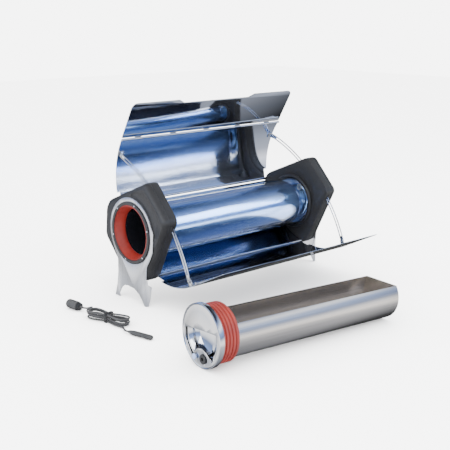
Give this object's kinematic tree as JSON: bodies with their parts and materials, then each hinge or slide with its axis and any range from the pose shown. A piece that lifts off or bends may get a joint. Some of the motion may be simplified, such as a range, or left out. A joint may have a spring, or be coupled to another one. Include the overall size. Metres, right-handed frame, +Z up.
{
  "type": "solar oven",
  "caption": "Portable solar oven: a glass vacuum tube between two tilting housings on a leg stand, folding mirrors above and below, a pull-out tray and a coiled cord.",
  "frame": {"origin": "on the floor, under the middle of the box round the oven and its tray, the cord left out", "axes": "+Z up, +X along the tube away from its mouth, -Y the side the mirrors look towards"},
  "size_m": [0.7861, 0.6735, 0.5039],
  "materials": {
    "clear_glass": "gloss",
    "coated_glass": "gloss",
    "mirror_sheet": "polished",
    "dark_plastic": "satin",
    "red_silicone": "satin",
    "grey_rubber": "matte",
    "cord_jacket": "matte",
    "dark_metal": "satin",
    "button_cap": "satin",
    "getter_metal": "satin",
    "bright_steel": "satin"
  },
  "bodies": {
    "stand": {"left_leg": "bright_steel", "right_leg": "bright_steel", "cord_plug": "cord_jacket", "plug_collar": "cord_jacket", "cord_tail_plug": "cord_jacket", "cord_hank": "cord_jacket", "hank_tie": "cord_jacket", "cord_tail_connector": "cord_jacket", "cord_connector": "cord_jacket"},
    "oven": {"left_outer_shell": "dark_plastic", "right_outer_shell": "dark_plastic", "left_inner_shell": "dark_plastic", "right_inner_shell": "dark_plastic", "left_shell_screw_upper": "bright_steel", "left_shell_screw_lower": "bright_steel", "right_shell_screw_upper": "bright_steel", "right_shell_screw_lower": "bright_steel", "mouth_ring": "dark_plastic", "end_ring": "dark_plastic", "mouth_seal": "red_silicone", "glass_tube": "clear_glass", "absorber_tube": "coated_glass", "tube_clip": "bright_steel", "getter_cap": "getter_metal", "left_tube_collar": "dark_plastic", "right_tube_collar": "dark_plastic", "tube_end_cup": "grey_rubber", "end_cover": "dark_plastic", "back_mirror": "mirror_sheet", "upper_hinge_rod": "bright_steel", "lower_hinge_rod": "bright_steel"},
    "upper_mirror": {"upper_reflector": "mirror_sheet", "upper_bracket_left": "bright_steel", "upper_bracket_right": "bright_steel", "upper_strut_pin_left": "bright_steel", "upper_strut_pin_right": "bright_steel", "upper_fold_rod": "bright_steel"},
    "upper_struts": {"upper_strut_left": "bright_steel", "upper_strut_right": "bright_steel"},
    "upper_leaf": {"upper_extension": "mirror_sheet", "upper_hinge_strip": "bright_steel"},
    "lower_mirror": {"lower_reflector": "mirror_sheet", "lower_bracket_left": "bright_steel", "lower_bracket_right": "bright_steel", "lower_strut_pin_left": "bright_steel", "lower_strut_pin_right": "bright_steel", "lower_fold_rod": "bright_steel"},
    "lower_struts": {"lower_strut_left": "bright_steel", "lower_strut_right": "bright_steel"},
    "lower_leaf": {"lower_extension": "mirror_sheet", "lower_hinge_strip": "bright_steel"},
    "tray": {"tray_disc": "bright_steel", "grip_cup": "dark_metal", "power_socket": "dark_plastic", "tray_stopper": "red_silicone", "tray_bulkhead": "bright_steel", "tray_trough": "bright_steel", "heating_rod": "bright_steel"},
    "button": {"power_button": "button_cap"}
  },
  "joints": [
    {"name": "oven_tilt", "type": "hinge", "parent": "stand", "child": "oven", "pos_m": [0.0701, 0.212, 0.1823], "axis": [1, 0, 0], "range_deg": [-45, 20]},
    {"name": "upper_mirror_fold", "type": "hinge", "parent": "oven", "child": "upper_mirror", "pos_m": [0.0701, 0.32045, 0.23437], "axis": [1, 0, 0], "range_deg": [0, 35]},
    {"name": "lower_mirror_fold", "type": "hinge", "parent": "oven", "child": "lower_mirror", "pos_m": [0.0701, 0.16723, 0.07064], "axis": [1, 0, 0], "range_deg": [-35, 0]},
    {"name": "upper_strut_swing", "type": "hinge", "parent": "upper_mirror", "child": "upper_struts", "pos_m": [0.0701, 0.30099, 0.36404], "axis": [1, 0, 0], "range_deg": [-25, 0.5]},
    {"name": "lower_strut_swing", "type": "hinge", "parent": "lower_mirror", "child": "lower_struts", "pos_m": [0.0701, 0.01997, 0.09329], "axis": [1, 0, 0], "range_deg": [-0.5, 21]},
    {"name": "upper_leaf_fold", "type": "hinge", "parent": "upper_mirror", "child": "upper_leaf", "pos_m": [0.0701, 0.28501, 0.40703], "axis": [1, 0, 0], "range_deg": [0, 60]},
    {"name": "lower_leaf_fold", "type": "hinge", "parent": "lower_mirror", "child": "lower_leaf", "pos_m": [0.0701, -0.00739, 0.09456], "axis": [1, 0, 0], "range_deg": [-60, 0]},
    {"name": "tray_lift", "type": "slide", "parent": "stand", "child": "tray", "axis": [0, 0, 1], "range_m": [0, 0.3]},
    {"name": "button_press", "type": "slide", "parent": "tray", "child": "button", "axis": [0.9956, -0.0911, -0.0222], "range_m": [0, 0.0015], "stiffness_N_per_m": 400}
  ],
  "couplings": [
    {"joint": "upper_strut_swing", "follows": "upper_mirror_fold", "ratio": -0.7},
    {"joint": "lower_strut_swing", "follows": "lower_mirror_fold", "ratio": -0.58}
  ]
}
